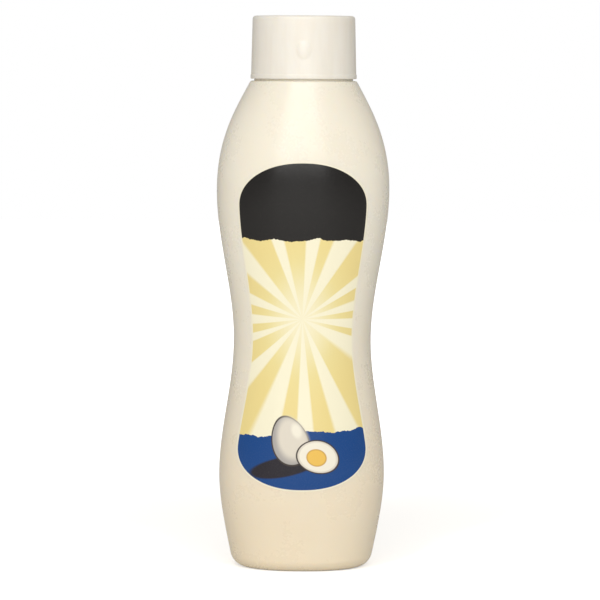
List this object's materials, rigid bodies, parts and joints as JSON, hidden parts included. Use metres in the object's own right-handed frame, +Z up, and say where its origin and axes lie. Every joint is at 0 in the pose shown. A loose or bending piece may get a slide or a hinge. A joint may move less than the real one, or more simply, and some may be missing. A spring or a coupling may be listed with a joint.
{
  "type": "mayonnaise squeeze bottle",
  "caption": "Full, shut squeeze bottle of mayonnaise: a waisted oval body in cream plastic with a smooth round cap and a domed label in black, yellow and blue on the front and back.",
  "frame": {"origin": "centre of the plane that the base stands on", "axes": "+Z up along the bottle's height, +X across its broad side to the right of its front label, -Y out of the front label"},
  "size_m": [0.0727, 0.0576, 0.2325],
  "materials": {
    "bottle": "opaque cream plastic, smooth and glossy, over the mayonnaise",
    "cap": "opaque off-white moulded plastic, satin gloss",
    "label": "thin gloss film printed with plain fields of black, yellow rays and blue"
  },
  "bodies": {
    "root": {"bottle": "bottle", "cap": "cap", "label_front": "label", "label_back": "label"}
  },
  "joints": []
}
